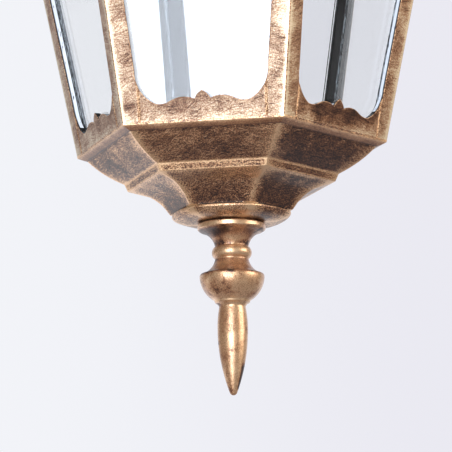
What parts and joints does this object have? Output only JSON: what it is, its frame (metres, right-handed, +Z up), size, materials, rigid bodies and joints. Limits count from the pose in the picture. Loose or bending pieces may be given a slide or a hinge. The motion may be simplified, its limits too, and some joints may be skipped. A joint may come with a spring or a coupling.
{
  "type": "hanging lantern",
  "caption": "Hexagonal cast lantern with leaning glass panes, scalloped rails, tiered base and turned finial, hung by a short chain from a ceiling canopy.",
  "frame": {"origin": "centre of the two ceiling screw holes, on the ceiling plane", "axes": "+Z up into the ceiling, +X along the bracket, -Y towards the pane that the picture shows in front"},
  "size_m": [0.1958, 0.172, 0.5586],
  "materials": {
    "bronze_casting": "satin",
    "bronze_steel": "satin",
    "zinc_steel": "satin",
    "clear_glass": "gloss",
    "black_rubber": "matte",
    "black_plastic": "satin",
    "porcelain": "gloss",
    "brass_contact": "satin",
    "frosted_glass": "satin"
  },
  "bodies": {
    "ceiling_mount": {"ceiling_bracket": "zinc_steel", "canopy": "bronze_steel", "canopy_nipple": "zinc_steel", "canopy_nuts": "zinc_steel", "earth_screw": "zinc_steel", "canopy_loop": "bronze_steel"},
    "link_1": {"chain_link_1": "bronze_steel"},
    "link_2": {"chain_link_2": "bronze_steel"},
    "link_3": {"chain_link_3": "bronze_steel"},
    "link_4": {"chain_link_4": "bronze_steel"},
    "link_5": {"chain_link_5": "bronze_steel"},
    "lantern": {"top_loop": "bronze_steel", "roof_cap": "bronze_casting", "roof_seal": "black_rubber", "roof": "bronze_casting", "roof_screws": "bronze_steel", "hanger_nipple": "zinc_steel", "roof_nut": "zinc_steel", "lampholder_cap": "black_plastic", "lampholder_core": "porcelain", "lampholder_contact": "brass_contact", "lampholder_sleeve": "brass_contact", "lampholder_skirt": "black_plastic", "bulb": "frosted_glass", "cage": "bronze_casting", "glass_pane_1": "clear_glass", "glass_pane_2": "clear_glass", "glass_pane_3": "clear_glass", "glass_pane_4": "clear_glass", "glass_pane_5": "clear_glass", "glass_pane_6": "clear_glass", "pane_clips": "zinc_steel", "clip_screws": "zinc_steel", "finial": "bronze_casting", "finial_stud": "zinc_steel", "finial_washer": "zinc_steel", "finial_nut": "zinc_steel"}
  },
  "joints": [
    {"name": "link_1_swing", "type": "hinge", "parent": "ceiling_mount", "child": "link_1", "pos_m": [0, 0, -0.0674], "axis": [1, 0, 0], "range_deg": [-25, 25]},
    {"name": "link_2_swing", "type": "hinge", "parent": "link_1", "child": "link_2", "pos_m": [0, 0, -0.0945], "axis": [0, 1, 0], "range_deg": [-25, 25]},
    {"name": "link_3_swing", "type": "hinge", "parent": "link_2", "child": "link_3", "pos_m": [0, 0, -0.1222], "axis": [1, 0, 0], "range_deg": [-25, 25]},
    {"name": "link_4_swing", "type": "hinge", "parent": "link_3", "child": "link_4", "pos_m": [0, 0, -0.1499], "axis": [0, 1, 0], "range_deg": [-25, 25]},
    {"name": "link_5_swing", "type": "hinge", "parent": "link_4", "child": "link_5", "pos_m": [0, 0, -0.1776], "axis": [1, 0, 0], "range_deg": [-25, 25]},
    {"name": "lantern_swing", "type": "hinge", "parent": "link_5", "child": "lantern", "pos_m": [0, 0, -0.2053], "axis": [0, 1, 0], "range_deg": [-25, 25]}
  ]
}
